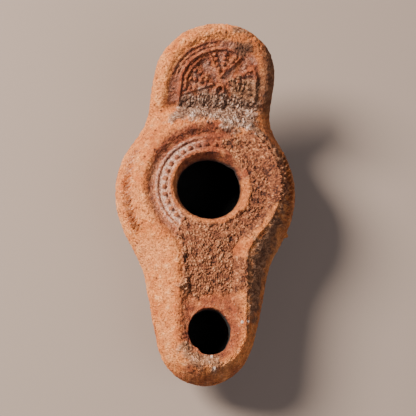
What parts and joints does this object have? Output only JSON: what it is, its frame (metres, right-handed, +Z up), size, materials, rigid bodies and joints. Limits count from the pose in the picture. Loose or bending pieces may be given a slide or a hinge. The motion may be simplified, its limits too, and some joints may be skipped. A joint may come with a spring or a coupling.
{
  "type": "roman oil lamp",
  "caption": "Hollow mould-made terracotta oil lamp with a filling hole, a keyhole-ridged nozzle with a wick hole, and an upturned tongue handle bearing a beaded cross.",
  "frame": {"origin": "Centre of the flat foot's underside, straight below the centre of the filling hole.", "axes": "+X to the lamp's right, seen from above with the handle away; +Y from the nozzle towards the handle, along the lamp's length; +Z up out of the filling hole."},
  "size_m": [0.0672, 0.1299, 0.0421],
  "materials": {
    "terracotta": "unglazed orange-brown fired clay, matt, with crusts of lime and soil and a sooty inside"
  },
  "bodies": {
    "root": {"lamp": "terracotta"}
  },
  "joints": []
}
